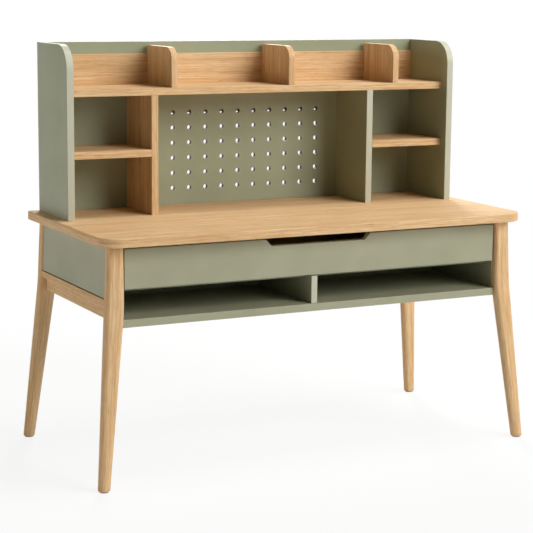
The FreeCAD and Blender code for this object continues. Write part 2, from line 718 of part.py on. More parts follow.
for side, sign in SIDES:
    reach = mirrored(sign, "box_in_x", "box_in_x + cam_depth")
    for height in cam_heights:
        disc = rod("x", *reach, "cam_y", height, "cam_width - 2 * fit_gap")
        slot = doc.addObject("Part::Box", "slot")
        bind(slot, Length="cam_slot_depth", Width="cam_slot_length", Height="cam_slot_width")
        bind(slot, Placement__Base__x="box_in_x" if sign == "" else "-(box_in_x + cam_slot_depth)")
        bind(slot, Placement__Base__y="cam_y - cam_slot_length / 2")
        bind(slot, Placement__Base__z=f"{height} - cam_slot_width / 2")
        cam = doc.addObject("Part::Cut", "cam")
        cam.Base = disc
        cam.Tool = slot
        cams.append(cam)
group("drawer_cams", cams)
bolt_reach = ("front_back_y - cam_bolt_bite", "cam_y - cam_width / 2")
group("cam_bolts", [rod("y", *bolt_reach, *place, "cam_bolt_width")
                    for places in bolt_pins.values() for place in places])

# Telescopic runners: three nested channels a side, each clear of the next by the play
half = "runner_height / 2"
step = "runner_sheet + runner_play"
channels = (
    ("runner_outer", "wall_in_x", "wall_in_x - runner_sheet", "wall_in_x - runner_flange", half),
    ("runner_middle", f"wall_in_x - ({step})", f"wall_in_x - ({step}) - runner_sheet",
     "wall_in_x - runner_flange - runner_play", f"{half} - ({step})"),
    ("runner_inner", "box_out_x", "box_out_x + runner_sheet", f"wall_in_x - 2 * ({step})",
     f"{half} - 2 * ({step})"),
)
for side, sign in SIDES:
    for label, back, web, lip, reach in channels:
        low, high = f"runner_mid_z - ({reach})", f"runner_mid_z + ({reach})"
        back_x, web_x, lip_x = f"{sign}({back})", f"{sign}({web})", f"{sign}({lip})"
        section = [
            (back_x, low), (lip_x, low), (lip_x, f"{low} + runner_sheet"), (web_x, f"{low} + runner_sheet"),
            (web_x, f"{high} - runner_sheet"), (lip_x, f"{high} - runner_sheet"), (lip_x, high),
            (back_x, high),
        ]
        channel = prism(f"{label}_{side}", "XZ", section, "runner_y", "runner_end_y")
        if label != "runner_middle":
            way = 1 if (label == "runner_inner") == (sign == "") else -1
            drill(channel, "YZ", back_x, runner_pins, "runner_screw_head", "runner_sheet", way)

# Flat-head screws: the outer channels on the walls, the inner ones on the drawer box
runner_screws = (
    ("wall_runner_screws", ("wall_in_x - runner_sheet", "wall_in_x"),
     ("wall_in_x - runner_sheet / 2", "wall_in_x + runner_screw_bite")),
    ("box_runner_screws", ("box_out_x", "box_out_x + runner_sheet"),
     ("box_out_x - runner_screw_bite", "box_out_x + runner_sheet / 2")),
)
for label, head, shank in runner_screws:
    screws = []
    for side, sign in SIDES:
        for place in runner_pins:
            screws.append(fused([rod("x", *mirrored(sign, *head), *place, "runner_screw_head"),
                                 rod("x", *mirrored(sign, *shank), *place, "runner_screw_width")]))
    group(label, screws)

# Hutch: sides with a rounded shoulder standing on the desktop
hutch_along = ("hutch_front_y", "hutch_back_y")
dowel_lines = ("inner_front_y + upright_dowel_inset", "board_front_y - upright_dowel_inset")
lower_ends = [(along, "lower_z + hutch_thick / 2") for along in dowel_lines]
upper_ends = [(along, "upper_z + hutch_thick / 2") for along in dowel_lines]
for side, sign in SIDES:
    panel = prism("hutch_side_" + side, "YZ", corners(hutch_along, ("desk_height", "hutch_top_z")),
                  *mirrored(sign, "hutch_in_x", "hutch_half"))
    crosswise = lambda middle, way: abs(way.x) > abs(way.y) + abs(way.z)
    shoulder_z = number("hutch_top_z - hutch_radius")
    shoulder_y = number("hutch_front_y + hutch_radius")
    round_off(panel, "hutch_radius", lambda middle, way: crosswise(middle, way) and middle.z > shoulder_z
              and middle.y < shoulder_y)
    ease(panel)
    pins = [place for place in hutch_pins if place[0] == f"{sign}(hutch_half - hutch_thick / 2)"]
    drill(panel, "XY", "desk_height", pins, "dowel_width", "upright_dowel_depth", 1)
    outwards = 1 if sign == "" else -1
    shelf_ends = lower_ends + upper_ends
    drill(panel, "YZ", f"{sign}(hutch_in_x)", shelf_ends, "dowel_width", "top_dowel_depth", outwards)

# Peg board at the back of the hutch
peg_board = board("peg_board", ("-(hutch_in_x)", "hutch_in_x"), ("board_front_y", "board_back_y"),
                  ("desk_height", "hutch_top_z"))
peg_column = [("-(peg_half)", f"desk_height + peg_rise + peg_pitch_z * {row}") for row in range(PEG_ROWS)]
pegs = drill(peg_board, "XZ", "board_front_y", peg_column, "peg_width", "hutch_back_thick", 1)
pattern = peg_board.newObject("PartDesign::LinearPattern", "peg_pattern")
pattern.Originals = [pegs]
pattern.Direction = ([one for one in peg_board.Origin.OriginFeatures if one.Role == "X_Axis"][0], [""])
pattern.Occurrences = PEG_COLUMNS
bind(pattern, Length="2 * peg_half")
peg_board.Tip = pattern
doc.recompute()

# Shelves, partitions, the strip behind the upper shelf and its fins
inner_along = ("inner_front_y", "board_front_y")
hutch_across = ("-(hutch_in_x)", "hutch_in_x")
upper = board("hutch_upper_shelf", hutch_across, inner_along, ("upper_z", "upper_top_z"))
back_pins = []
board("hutch_strip", hutch_across, ("strip_front_y", "board_front_y"),
      ("upper_top_z", "upper_top_z + strip_height"))
for side, sign in SIDES:
    upright = board("hutch_partition_" + side, mirrored(sign, "partition_in", "partition_out"), inner_along,
                    ("desk_height", "upper_z"))
    middle = f"{sign}(partition_in + hutch_thick / 2)"
    pins = [(middle, along) for along in dowel_lines]
    inwards = -1 if sign == "" else 1
    drill(upright, "XY", "desk_height", pins, "dowel_width", "upright_dowel_depth", 1)
    drill(upright, "XY", "upper_z", pins, "dowel_width", "upright_dowel_depth", -1)
    drill(upright, "YZ", f"{sign}(partition_out)", lower_ends, "dowel_width", "top_dowel_depth", inwards)
    drill(upper, "XY", "upper_z", pins, "dowel_width", "top_dowel_depth", 1)
    drill(upper, "YZ", f"{sign}(hutch_in_x)", upper_ends, "dowel_width", "upright_dowel_depth", inwards)
    shelf = board("hutch_lower_shelf_" + side, mirrored(sign, "partition_out", "hutch_in_x"), inner_along,
                  ("lower_z", "lower_top_z"))
    drill(shelf, "YZ", f"{sign}(partition_out)", lower_ends, "dowel_width", "upright_dowel_depth", -inwards)
    drill(shelf, "YZ", f"{sign}(hutch_in_x)", lower_ends, "dowel_width", "upright_dowel_depth", inwards)
    upright_pins = [(middle, "desk_height + screw_inset"), (middle, "lower_top_z + screw_inset / 2")]
    ledge_pins = [(f"{sign}((partition_out + hutch_in_x) / 2)", "lower_z + hutch_thick / 2")]
    drill(upright, "XZ", "board_front_y", upright_pins, "screw_width", "screw_length - hutch_back_thick", -1)
    drill(shelf, "XZ", "board_front_y", ledge_pins, "screw_width", "screw_length - hutch_back_thick", -1)
    back_pins += upright_pins + ledge_pins
fin_feet = []
for name in ("left", "centre", "right"):
    place = f"fin_{name}_x"
    pins = [(place, along) for along in dowel_lines]
    fin = prism("hutch_fin_" + name, "YZ",
                corners(("inner_front_y", "strip_front_y"), ("upper_top_z", "upper_top_z + fin_height")),
                f"{place} - fin_thick / 2", f"{place} + fin_thick / 2")
    shoulder_z = number("upper_top_z + fin_height - fin_radius")
    shoulder_y = number("inner_front_y + fin_radius")
    round_off(fin, "fin_radius", lambda middle, way: abs(way.x) > abs(way.y) + abs(way.z)
              and middle.z > shoulder_z and middle.y < shoulder_y)
    ease(fin)
    drill(fin, "XY", "upper_top_z", pins, "dowel_width", "upright_dowel_depth", 1)
    fin_feet += pins
drill(upper, "XY", "upper_top_z", fin_feet, "dowel_width", "top_dowel_depth", -1)
drill(peg_board, "XZ", "board_front_y", back_pins, "screw_width", "hutch_back_thick", 1)
group("peg_board_screws", [screw("y", "board_back_y", *place, "screw_length", way=-1) for place in back_pins])
board("hutch_batten", hutch_across, ("board_back_y", "hutch_back_y"), ("upper_z - batten_height", "upper_z"))

# Dowels: they stand the hutch on the desktop and hold its shelves, partitions and fins
at_desk = ("desk_height - top_dowel_depth", "desk_height + upright_dowel_depth")
at_fin = ("upper_top_z - top_dowel_depth", "upper_top_z + upright_dowel_depth")
under_upper = ("upper_z - upright_dowel_depth", "upper_z + top_dowel_depth")
dowels = [rod("z", *at_desk, *place, "dowel_width") for place in hutch_pins]
dowels += [rod("z", *at_fin, *place, "dowel_width") for place in fin_feet]
for side, sign in SIDES:
    at_side = mirrored(sign, "hutch_in_x - upright_dowel_depth", "hutch_in_x + top_dowel_depth")
    at_partition = mirrored(sign, "partition_out - top_dowel_depth", "partition_out + upright_dowel_depth")
    middle = f"{sign}(partition_in + hutch_thick / 2)"
    dowels += [rod("x", *at_side, *place, "dowel_width") for place in lower_ends + upper_ends]
    dowels += [rod("x", *at_partition, *place, "dowel_width") for place in lower_ends]
    dowels += [rod("z", *under_upper, middle, along, "dowel_width") for along in dowel_lines]
group("hutch_dowels", dowels)

# Check every object, then write the pieces
doc.recompute()
for thing in doc.Objects:
    if "Invalid" in thing.State or "Error" in thing.State:
        raise RuntimeError("failed object: " + thing.Label)
for node in NODES:
    if node.Shape.isNull() or not node.Shape.isValid():
        raise RuntimeError("bad shape: " + node.Label)
os.makedirs("parts", exist_ok=True)
for node in NODES:
    node.Shape.exportStep("parts/" + node.Label + ".step")
    print(node.Label, len(node.Shape.Solids), round(node.Shape.Volume))
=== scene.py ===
# %% [markdown]
# # A student desk with a hutch, dressed in Blender
#
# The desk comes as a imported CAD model: boards, legs, a drawer on telescopic runners, and a hutch
# with a peg board. This lesson gives it its finishes, and makes again the few pieces that need a
# finer surface than a plain solid has. Everything is in metres, in the frame of the CAD model: X to
# the sitter's right, Y towards the wall, Z up, with the origin on the floor under the middle of the
# four feet. Because both models share that frame, no piece has to be fitted by eye.

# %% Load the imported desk
import json
import math

import bpy
import numpy as np
from mathutils import Matrix, Vector


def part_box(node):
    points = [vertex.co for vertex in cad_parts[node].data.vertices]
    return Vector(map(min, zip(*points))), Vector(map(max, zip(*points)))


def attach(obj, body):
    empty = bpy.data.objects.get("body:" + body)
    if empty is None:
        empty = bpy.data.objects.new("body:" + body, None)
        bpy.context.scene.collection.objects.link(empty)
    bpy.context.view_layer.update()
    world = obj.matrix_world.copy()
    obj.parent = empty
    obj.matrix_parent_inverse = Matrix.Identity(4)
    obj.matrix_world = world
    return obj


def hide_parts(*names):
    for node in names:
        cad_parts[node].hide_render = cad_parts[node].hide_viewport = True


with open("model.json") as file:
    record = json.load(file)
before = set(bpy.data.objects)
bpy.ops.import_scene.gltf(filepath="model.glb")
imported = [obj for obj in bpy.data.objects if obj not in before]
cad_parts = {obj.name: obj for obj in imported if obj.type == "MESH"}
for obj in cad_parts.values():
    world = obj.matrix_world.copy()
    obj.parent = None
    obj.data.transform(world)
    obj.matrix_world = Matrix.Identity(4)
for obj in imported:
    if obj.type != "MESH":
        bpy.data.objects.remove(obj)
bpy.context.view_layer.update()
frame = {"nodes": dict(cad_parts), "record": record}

MM = 0.001
X, Y, Z = 0, 1, 2

# %% [markdown]
# ## The camera
#
# The picture was taken from the front left, a little above the desktop, through a long lens, so
# upright edges hardly lean. A camera can be aimed by hand, or made to track an empty. Here it is
# written out as a place, three angles and a focal length, because those numbers can be fitted to
# points measured in the picture. The focal length comes in pixels of a square picture; Blender wants
# millimetres on a sensor, so it is scaled by the sensor's width over the picture's.

# %% Camera
PICTURE_SIDE, FOCAL_PIXELS, SENSOR_WIDTH = 533, 1672.3, 36
CAMERA_PLACE = Vector((-2343.6, -4585.5, 1421.1)) * MM
CAMERA_YAW = math.radians(26.768)
CAMERA_PITCH = math.radians(9.643)
CAMERA_ROLL = math.radians(0.484)

ahead = Vector((math.sin(CAMERA_YAW) * math.cos(CAMERA_PITCH),
                math.cos(CAMERA_YAW) * math.cos(CAMERA_PITCH), -math.sin(CAMERA_PITCH)))
level = ahead.cross(Vector((0, 0, 1))).normalized()
upward = level.cross(ahead)
right = level * math.cos(CAMERA_ROLL) + upward * math.sin(CAMERA_ROLL)
above = upward * math.cos(CAMERA_ROLL) - level * math.sin(CAMERA_ROLL)
turned = Matrix((right, above, -ahead)).transposed().to_4x4()

lens = bpy.data.cameras.new("camera")
lens.sensor_width = SENSOR_WIDTH
lens.lens = FOCAL_PIXELS / PICTURE_SIDE * SENSOR_WIDTH
camera = bpy.data.objects.new("camera", lens)
camera.matrix_world = Matrix.Translation(CAMERA_PLACE) @ turned
bpy.context.scene.collection.objects.link(camera)
bpy.context.scene.camera = camera
bpy.context.scene.view_settings.view_transform = "Standard"
print("lens of", round(lens.lens, 1), "mm")

# %% [markdown]
# ## How a finish is put together
#
# A finish is a small network of nodes that ends in one surface shader. It can be clicked together in
# the shader editor, but written out it can be read, changed and used again. One function adds any
# node, sets what it is given and links the rest. Another joins the three results that every finish
# here has, its colour, its roughness and its relief, to the shader. Colours are written as they look
# on a screen and turned to linear light, which is what the renderer adds up.

# %% Helpers for finishes
# A Mix node has sockets for numbers, vectors and colours side by side; these are its colour sockets.
MIX_SHARE, MIX_FIRST, MIX_SECOND, MIX_RESULT = 0, 6, 7, 2


def linear(hex_colour):
    """Turn a screen colour such as #A2A288 into linear red, green, blue and alpha: a straight run
    for the darkest tones, and above it a power of 2.4."""
    parts = np.array([int(hex_colour[place:place + 2], 16) for place in (1, 3, 5)]) / 255
    light = np.where(parts <= 0.04045, parts / 12.92, ((parts + 0.055) / 1.055) ** 2.4)
    return (*light, 1)


def add(tree, kind, inputs=None, **settings):
    """Add a node with its settings; an input is linked where it is a socket, and set where it isn't."""
    node = tree.nodes.new("ShaderNode" + kind)
    for name, value in settings.items():
        setattr(node, name, value)
    for name, value in (inputs or {}).items():
        if isinstance(value, bpy.types.NodeSocket):
            tree.links.new(value, node.inputs[name])
        else:
            node.inputs[name].default_value = value
    return node


def new_finish(name):
    """Start a material with only a surface shader, and give the material, its tree and the shader."""
    material = bpy.data.materials.new(name)
    material.use_nodes = True
    tree = material.node_tree
    tree.nodes.clear()
    surface = add(tree, "BsdfPrincipled")
    add(tree, "OutputMaterial", {"Surface": surface.outputs[0]})
    return material, tree, surface


def join_up(tree, surface, colour, rough, height, strength, depth):
    """Link a colour and a roughness to the shader, and a height to it as relief of a real depth."""
    relief = add(tree, "Bump", {"Height": height, "Strength": strength, "Distance": depth}).outputs[0]
    for socket, source in (("Base Color", colour), ("Roughness", rough), ("Normal", relief)):
        tree.links.new(source, surface.inputs[socket])


print("a mid grey as linear light:", np.round(linear("#808080"), 3))

# %% [markdown]
# ### Oak
#
# The desktop and shelves are sliced oak veneer and the legs are solid oak, all under a matt oil. That
# gives the eye three things: broad bands where the growth rings were cut, fine streaks along the
# grain, and short dark pores that are a little rougher and lower than the wood between them.
# Photographs of veneer would show all three, but they repeat, and they end at the edge of a board.
# So each of the three is a noise, stretched along the grain by its real length and width, and one
# function gives every cut of the wood.

# %% Oak: tones and sizes
OAK_LIGHT, OAK_DARK, OAK_PORE = "#EACA9E", "#C2945F", "#9C7040"
BAND_WIDTH, BAND_LENGTH, BAND_BEND = 26 * MM, 700 * MM, 0.5
STREAK_WIDTH, STREAK_LENGTH, STREAK_BEND = 3.4 * MM, 140 * MM, 0.2
STREAK_WEIGHT, OAK_FINER = 1.5, 0.6
# Real pores are about 0.3 mm wide, too fine for this picture, so they are drawn wider.
PORE_WIDTH, PORE_LENGTH = 1.5 * MM, 42 * MM
PORE_DEPTH, PORE_RELIEF = 0.25 * MM, 0.35
GRAIN_PALEST, GRAIN_DARKEST = 0.86, 1.68
PORE_START, PORE_FULL, PORE_SHARE = 0.56, 0.70, 0.42
OILED_ROUGH, PORE_ROUGH = 0.56, 0.68
# The usual mirror level is a half; a matt oil keeps less of it.
OAK_IOR, MATT_LEVEL = 1.5, 0.2
print("oak bands", BAND_WIDTH / MM, "mm wide, streaks", STREAK_WIDTH / MM, "mm, pores", PORE_WIDTH / MM, "mm")


# %% Oak: the network
def along_grain(tree, where, along, width, length, detail, finer=0.5, bend=0):
    """A noise stretched along one axis: the place is divided by a real length there, and by a real
    width across it. Finer copies are laid in, each a share as strong as the last, and it can wander."""
    scale = [1 / width] * 3
    scale[along] = 1 / length
    stretched = add(tree, "Mapping", {"Vector": where, "Scale": scale}).outputs[0]
    return add(tree, "TexNoise", {"Vector": stretched, "Scale": 1, "Detail": detail, "Roughness": finer,
                                  "Distortion": bend}).outputs[0]


def oak(name, along, place=None):
    """Oak with its grain along an axis of the object, or of a stored attribute. Streaks, by their
    weight, plus bands give the share of the dark tone; pores are laid over it."""
    material, tree, surface = new_finish(name)
    if place:
        where = add(tree, "Attribute", attribute_name=place).outputs["Vector"]
    else:
        where = add(tree, "TexCoord").outputs["Object"]
    bands = along_grain(tree, where, along, BAND_WIDTH, BAND_LENGTH, 3, OAK_FINER, BAND_BEND)
    streaks = along_grain(tree, where, along, STREAK_WIDTH, STREAK_LENGTH, 4, OAK_FINER, STREAK_BEND)
    dots = along_grain(tree, where, along, PORE_WIDTH, PORE_LENGTH, 1, OAK_FINER)
    both = add(tree, "Math", {0: streaks, 1: STREAK_WEIGHT, 2: bands}, operation="MULTIPLY_ADD").outputs[0]
    shade = add(tree, "MapRange", {"Value": both, "From Min": GRAIN_PALEST,
                                   "From Max": GRAIN_DARKEST}).outputs[0]
    grain = add(tree, "Mix", {MIX_SHARE: shade, MIX_FIRST: linear(OAK_LIGHT), MIX_SECOND: linear(OAK_DARK)},
                data_type="RGBA").outputs[MIX_RESULT]
    pores = add(tree, "MapRange", {"Value": dots, "From Min": PORE_START, "From Max": PORE_FULL,
                                   "To Max": PORE_SHARE}).outputs[0]
    colour = add(tree, "Mix", {MIX_SHARE: pores, MIX_FIRST: grain, MIX_SECOND: linear(OAK_PORE)},
                 data_type="RGBA").outputs[MIX_RESULT]
    rough = add(tree, "MapRange", {"Value": pores, "From Max": PORE_SHARE, "To Min": OILED_ROUGH,
                                   "To Max": PORE_ROUGH}).outputs[0]
    height = add(tree, "Math", {0: 1.0, 1: pores}, operation="SUBTRACT").outputs[0]
    join_up(tree, surface, colour, rough, height, PORE_RELIEF, PORE_DEPTH)
    surface.inputs["IOR"].default_value = OAK_IOR
    surface.inputs["Specular IOR Level"].default_value = MATT_LEVEL
    return material


oak_lying = oak("oak_veneer_grain_across", X)
oak_deep = oak("oak_grain_front_to_back", Y)
oak_standing = oak("oak_veneer_grain_upright", Z)
oak_leg = oak("solid_oak_leg", Z, "grain")
oak_desktop = oak("oak_veneer_desktop", X, "grain")
print("oak in five cuts, each of", len(oak_lying.node_tree.nodes), "nodes")

# %% [markdown]
# ### Sage lacquer
#
# The green boards are fibreboard, sprayed with a satin lacquer. That gives the eye an even, soft
# sheen, a faint ripple a few millimetres across, and a tone that drifts a little over a board. One
# plain colour would do from afar, but close by it looks like plastic, so two near tones are mixed by
# a broad noise, and a fine noise makes the ripple. The hutch's boards get a darker, greener copy of
# those tones, which is painted shade: it stands in for the olive shade inside the hutch. Upright
# boards get a paler colour on their edges, a painted highlight for the light that the edges catch,
# and the drilled board gets a dark brown in its peg holes, partly bare fibre and partly painted
# shade, darker than bare fibreboard. Both could be cut out as faces of their own; here they are found
# by the way a face turns, since what doesn't face along the board's thickness is edge or hole. The
# top edge of the drilled board is painted again, so the dark brown ends below a height.

# %% Sage lacquer: tones and sizes
# The second pair of tones is a darker, greener copy of the sage for the hutch's boards: painted shade,
# standing in for the olive shade inside the hutch.
SAGE, SAGE_SHADED_IN_HUTCH = ("#A2A288", "#9B9B81"), ("#9DA185", "#969A7E")
# The dark brown in the peg holes is partly bare fibre and partly painted shade: it is darker than bare
# fibreboard, for the shade inside the holes.
# The paler edge colour is a painted highlight, standing in for the light that the edges of upright boards
# catch.
EDGE_HIGHLIGHT, BARE_FIBRE_AND_SHADE = "#BEBDA8", "#463A29"
TONE_PATCH, TONE_START, TONE_FULL = 180 * MM, 0.35, 0.65
LACQUER_RIPPLE, RIPPLE_DEPTH, RIPPLE_RELIEF = 2.5 * MM, 0.1 * MM, 0.12
EDGE_FULL, EDGE_START = 0.2, 0.6
TOP_EDGE, ANY_HEIGHT = 5 * MM, 10.0
SATIN_SMOOTH, SATIN_ROUGH = 0.40, 0.50
LACQUER_IOR, SATIN_LEVEL = 1.48, 0.3
print("lacquer ripples", LACQUER_RIPPLE / MM, "mm across")


# %% Sage lacquer: the network
def edge_share(tree, axis, full, start):
    """One on edges and in holes, which look across an axis, and nought on faces that look along it:
    the share falls as the normal turns into the axis."""
    normal = add(tree, "NewGeometry").outputs["Normal"]
    facing = add(tree, "SeparateXYZ", {0: normal}).outputs[axis]
    flat = add(tree, "Math", {0: facing}, operation="ABSOLUTE").outputs[0]
    return add(tree, "MapRange", {"Value": flat, "From Min": full, "From Max": start,
                                  "To Min": 1, "To Max": 0}).outputs[0]


def sage_lacquer(name, tones, face=None, edge=None, below=ANY_HEIGHT):
    """Satin lacquer in two near tones, with a fine ripple. Where a board faces along an axis, its
    edges and holes can have another colour, as far up as a height."""
    material, tree, surface = new_finish(name)
    where = add(tree, "TexCoord").outputs["Object"]
    patch = add(tree, "TexNoise", {"Vector": where, "Scale": 1 / TONE_PATCH, "Detail": 2}).outputs[0]
    tone = add(tree, "MapRange", {"Value": patch, "From Min": TONE_START, "From Max": TONE_FULL}).outputs[0]
    colour = add(tree, "Mix", {MIX_SHARE: tone, MIX_FIRST: linear(tones[0]), MIX_SECOND: linear(tones[1])},
                 data_type="RGBA").outputs[MIX_RESULT]
    if edge:
        aside = edge_share(tree, face, EDGE_FULL, EDGE_START)
        height = add(tree, "SeparateXYZ", {0: where}).outputs["Z"]
        low = add(tree, "Math", {0: height, 1: below}, operation="LESS_THAN").outputs[0]
        shown = add(tree, "Math", {0: aside, 1: low}, operation="MULTIPLY").outputs[0]
        colour = add(tree, "Mix", {MIX_SHARE: shown, MIX_FIRST: colour, MIX_SECOND: linear(edge)},
                     data_type="RGBA").outputs[MIX_RESULT]
    rough = add(tree, "MapRange", {"Value": patch, "To Min": SATIN_SMOOTH, "To Max": SATIN_ROUGH}).outputs[0]
    ripple = add(tree, "TexNoise", {"Vector": where, "Scale": 1 / LACQUER_RIPPLE, "Detail": 1}).outputs[0]
    join_up(tree, surface, colour, rough, ripple, RIPPLE_RELIEF, RIPPLE_DEPTH)
    surface.inputs["IOR"].default_value = LACQUER_IOR
    surface.inputs["Specular IOR Level"].default_value = SATIN_LEVEL
    return material


hole_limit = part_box("peg_board")[1][Z] - TOP_EDGE
sage = sage_lacquer("sage_lacquered_fibreboard", SAGE)
# This board and the hutch's boards carry the painted highlight on their edges.
sage_edge_highlighted = sage_lacquer("sage_lacquered_board_with_painted_edge_highlight", SAGE, X, EDGE_HIGHLIGHT)
# The hutch's boards take the darker, greener tones, which are painted shade.
sage_upright = sage_lacquer("sage_lacquered_hutch_board_with_painted_edge_highlight", SAGE_SHADED_IN_HUTCH, X, EDGE_HIGHLIGHT)
# The drilled board's holes take the dark brown, part bare fibre and part painted shade.
sage_drilled = sage_lacquer("sage_lacquered_board_with_bare_and_shaded_holes", SAGE_SHADED_IN_HUTCH, Y, BARE_FIBRE_AND_SHADE, hole_limit)
sage_batten = sage_lacquer("sage_lacquered_batten", SAGE_SHADED_IN_HUTCH)
print("sage lacquer on five kinds of board; bare fibre up to", round(hole_limit, 3), "m")

# %% [markdown]
# ### Zinc-plated steel
#
# The runners are rolled steel and the screws pressed steel, under a thin coat of zinc. That gives the
# eye a cool, bright metal with fine lines along the way it was rolled. Anisotropic gloss draws such
# lines out of a highlight alone, and they are gone in flat light. So one noise, stretched along the
# runners, moves the tone, the roughness and a very shallow relief together.

# %% Zinc-plated steel
ZINC, ZINC_SHADE = "#C3C5C6", "#A9ACAE"
# Real rolling lines are about 0.1 mm wide, too fine for this picture, so they are drawn wider.
DRAWN_WIDTH, DRAWN_LENGTH = 1.0 * MM, 120 * MM
DRAWN_DEPTH, DRAWN_RELIEF = 0.03 * MM, 0.15
ZINC_SMOOTH, ZINC_ROUGH = 0.26, 0.42

zinc, tree, surface = new_finish("zinc_plated_steel")
where = add(tree, "TexCoord").outputs["Object"]
lines = along_grain(tree, where, Y, DRAWN_WIDTH, DRAWN_LENGTH, 3)
colour = add(tree, "Mix", {MIX_SHARE: lines, MIX_FIRST: linear(ZINC), MIX_SECOND: linear(ZINC_SHADE)},
             data_type="RGBA").outputs[MIX_RESULT]
rough = add(tree, "MapRange", {"Value": lines, "To Min": ZINC_SMOOTH, "To Max": ZINC_ROUGH}).outputs[0]
join_up(tree, surface, colour, rough, lines, DRAWN_RELIEF, DRAWN_DEPTH)
surface.inputs["Metallic"].default_value = 1.0
print("zinc-plated steel, drawn lines", DRAWN_WIDTH / MM, "mm wide")

# %% [markdown]
# ### Moulded nylon
#
# The glides under the feet are moulded nylon: grey, a little waxy, and scuffed where they slide. One
# even roughness would look new. So a noise of the size of a scuff makes some places paler, rougher
# and slightly raised, which the eye reads as use.

# %% Moulded nylon
NYLON, NYLON_WORN = "#6E6A64", "#837E77"
SCUFF, SCUFF_DEPTH, SCUFF_RELIEF = 6 * MM, 0.1 * MM, 0.2
NYLON_SMOOTH, NYLON_ROUGH, NYLON_IOR = 0.45, 0.65, 1.53

nylon, tree, surface = new_finish("moulded_nylon")
where = add(tree, "TexCoord").outputs["Object"]
scuffs = add(tree, "TexNoise", {"Vector": where, "Scale": 1 / SCUFF, "Detail": 4}).outputs[0]
colour = add(tree, "Mix", {MIX_SHARE: scuffs, MIX_FIRST: linear(NYLON), MIX_SECOND: linear(NYLON_WORN)},
             data_type="RGBA").outputs[MIX_RESULT]
rough = add(tree, "MapRange", {"Value": scuffs, "To Min": NYLON_SMOOTH, "To Max": NYLON_ROUGH}).outputs[0]
join_up(tree, surface, colour, rough, scuffs, SCUFF_RELIEF, SCUFF_DEPTH)
surface.inputs["IOR"].default_value = NYLON_IOR
print("moulded nylon, scuffs of", SCUFF / MM, "mm")

# %% [markdown]
# ### Raw beech
#
# The dowels are raw beech, which the eye knows by short brown flecks on pale wood. They are hidden in
# their holes, so rings and rays aren't worth building. One noise is stretched to the length of a
# fleck, and only its peaks take the darker tone.

# %% Raw beech
BEECH, BEECH_FLECK = "#D9B98C", "#B98F5F"
FLECK_WIDTH, FLECK_LENGTH = 0.8 * MM, 5 * MM
FLECK_DEPTH, FLECK_RELIEF = 0.05 * MM, 0.2
FLECK_START, FLECK_FULL = 0.52, 0.72
BEECH_SMOOTH, BEECH_ROUGH = 0.64, 0.76

beech, tree, surface = new_finish("raw_beech")
where = add(tree, "TexCoord").outputs["Object"]
flecks = along_grain(tree, where, Z, FLECK_WIDTH, FLECK_LENGTH, 2)
share = add(tree, "MapRange", {"Value": flecks, "From Min": FLECK_START, "From Max": FLECK_FULL}).outputs[0]
colour = add(tree, "Mix", {MIX_SHARE: share, MIX_FIRST: linear(BEECH), MIX_SECOND: linear(BEECH_FLECK)},
             data_type="RGBA").outputs[MIX_RESULT]
rough = add(tree, "MapRange", {"Value": flecks, "To Min": BEECH_SMOOTH, "To Max": BEECH_ROUGH}).outputs[0]
join_up(tree, surface, colour, rough, flecks, FLECK_RELIEF, FLECK_DEPTH)
print("raw beech, flecks", FLECK_LENGTH / MM, "mm long")

# %% [markdown]
# ### Birch plywood
#
# The drawer box is birch plywood under a clear lacquer. That gives the eye a pale, faintly streaked
# face and, on the edges, thin darker stripes where every other ply shows its end grain. Each ply
# could be a solid of its own, but on a sanded edge the stripes are only colour. So the depth through
# the sheet is counted in plies, and stripes show where a face doesn't look along that depth.

# %% Birch plywood: tones and sizes
BIRCH_FACE, BIRCH_PLY, BIRCH_STREAK = "#E3D2B0", "#B79C70", "#D2BB91"
PLY_PITCH, PLY_START, PLY_FULL, PLY_SHARE = 2.9 * MM, 0.62, 0.72, 0.8
CUT_FULL, CUT_START = 0.3, 0.7
BIRCH_WIDTH, BIRCH_LENGTH = 7 * MM, 220 * MM
BIRCH_DEPTH, BIRCH_RELIEF = 0.1 * MM, 0.15
BIRCH_SMOOTH, BIRCH_ROUGH = 0.42, 0.54
print("plies", PLY_PITCH / MM, "mm apart")


# %% Birch plywood: the network
def birch_plywood(name, through, along):
    """Plywood whose plies are stacked along one axis, with its face grain along another. The depth,
    in plies, goes up and down between nought and one, and its peaks are the dark stripes."""
    material, tree, surface = new_finish(name)
    where = add(tree, "TexCoord").outputs["Object"]
    depth = add(tree, "SeparateXYZ", {0: where}).outputs[through]
    turns = add(tree, "Math", {0: depth, 1: 1 / PLY_PITCH}, operation="MULTIPLY").outputs[0]
    stack = add(tree, "Math", {0: turns, 1: 1.0}, operation="PINGPONG").outputs[0]
    stripe = add(tree, "MapRange", {"Value": stack, "From Min": PLY_START, "From Max": PLY_FULL,
                                    "To Max": PLY_SHARE}).outputs[0]
    streak = along_grain(tree, where, along, BIRCH_WIDTH, BIRCH_LENGTH, 3)
    face = add(tree, "Mix", {MIX_SHARE: streak, MIX_FIRST: linear(BIRCH_FACE),
                             MIX_SECOND: linear(BIRCH_STREAK)}, data_type="RGBA").outputs[MIX_RESULT]
    cut = edge_share(tree, through, CUT_FULL, CUT_START)
    shown = add(tree, "Math", {0: stripe, 1: cut}, operation="MULTIPLY").outputs[0]
    colour = add(tree, "Mix", {MIX_SHARE: shown, MIX_FIRST: face, MIX_SECOND: linear(BIRCH_PLY)},
                 data_type="RGBA").outputs[MIX_RESULT]
    rough = add(tree, "MapRange", {"Value": streak, "To Min": BIRCH_SMOOTH, "To Max": BIRCH_ROUGH}).outputs[0]
    join_up(tree, surface, colour, rough, streak, BIRCH_RELIEF, BIRCH_DEPTH)
    return material


